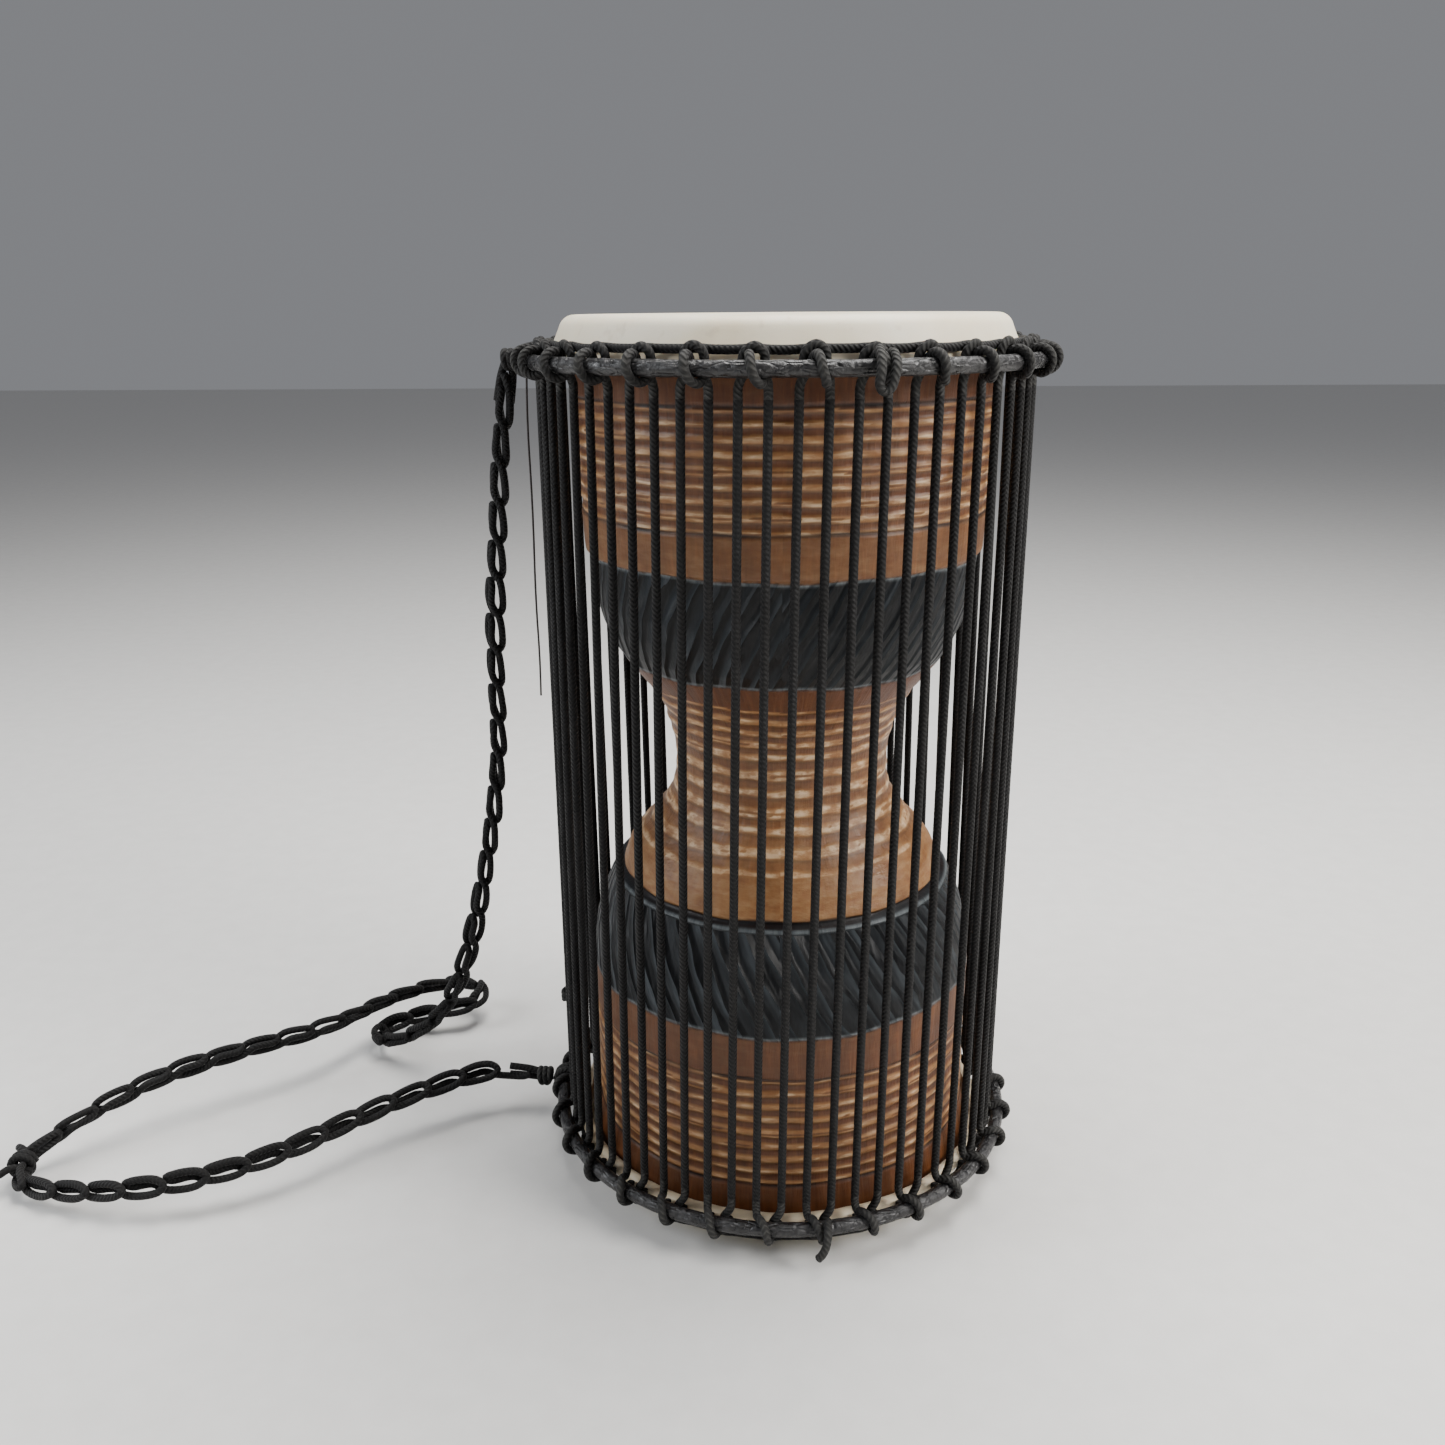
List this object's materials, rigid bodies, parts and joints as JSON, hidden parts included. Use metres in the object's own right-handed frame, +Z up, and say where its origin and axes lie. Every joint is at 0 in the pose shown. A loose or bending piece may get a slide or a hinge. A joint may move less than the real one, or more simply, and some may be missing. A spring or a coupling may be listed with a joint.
{
  "type": "talking drum",
  "caption": "Hourglass talking drum: carved wooden shell, two skin heads on corded rings, laced tension cords that squeeze in, chain-work shoulder strap.",
  "frame": {"origin": "centre of the lower head's flat face, on the surface the drum stands on", "axes": "+Z up the drum's axis, -Y towards the front, +X to the right seen from the front; the strap is on the -X side"},
  "size_m": [0.5383, 0.2621, 0.4414],
  "materials": {
    "shell_wood": "hand-carved mahogany-brown wood with two charred black bands, satin",
    "goatskin": "ivory goat skin, smooth, faintly mottled",
    "hoop_cane": "bent cane, hidden inside the skin's edge",
    "ring_steel": "plain steel rod, hidden inside its wrapping",
    "black_hide": "wrinkled black hide, worn grey on top, satin",
    "black_cord": "black braided cord, dusty grey where it rubs",
    "strap_cord": "black braided cord worked into a chain",
    "thread": "thin dark thread"
  },
  "bodies": {
    "drum": {"shell": "shell_wood", "top_skin": "goatskin", "bottom_skin": "goatskin", "top_flesh_hoop": "hoop_cane", "bottom_flesh_hoop": "hoop_cane", "top_ring_rod": "ring_steel", "bottom_ring_rod": "ring_steel", "top_ring_hide_wrap": "black_hide", "bottom_ring_hide_wrap": "black_hide", "top_crown_cord": "black_cord", "bottom_crown_cord": "black_cord", "top_crown_loops": "black_cord", "bottom_crown_loops": "black_cord", "top_ring_turns": "black_cord", "bottom_ring_turns": "black_cord", "right_tension_cords": "black_cord", "left_tension_cords": "black_cord", "front_cords_lower": "black_cord", "front_cords_upper": "black_cord", "back_cords_lower": "black_cord", "back_cords_upper": "black_cord", "strap_top_tie": "strap_cord", "strap_bottom_tie": "strap_cord", "front_knot": "black_cord", "cord_tail": "black_cord", "cord_splice": "black_cord", "strap": "strap_cord", "loose_thread": "thread"},
    "front_squeezed_cords": {"front_cords_grip": "black_cord"},
    "back_squeezed_cords": {"back_cords_grip": "black_cord"}
  },
  "joints": [
    {"name": "front_cords_squeeze", "type": "slide", "parent": "drum", "child": "front_squeezed_cords", "axis": [0, 1, 0], "range_m": [0, 0.022], "stiffness_N_per_m": 1500, "deforming": ["front_cords_lower", "front_cords_upper"]},
    {"name": "back_cords_squeeze", "type": "slide", "parent": "drum", "child": "back_squeezed_cords", "axis": [0, -1, 0], "range_m": [0, 0.022], "stiffness_N_per_m": 1500, "deforming": ["back_cords_lower", "back_cords_upper"]}
  ]
}
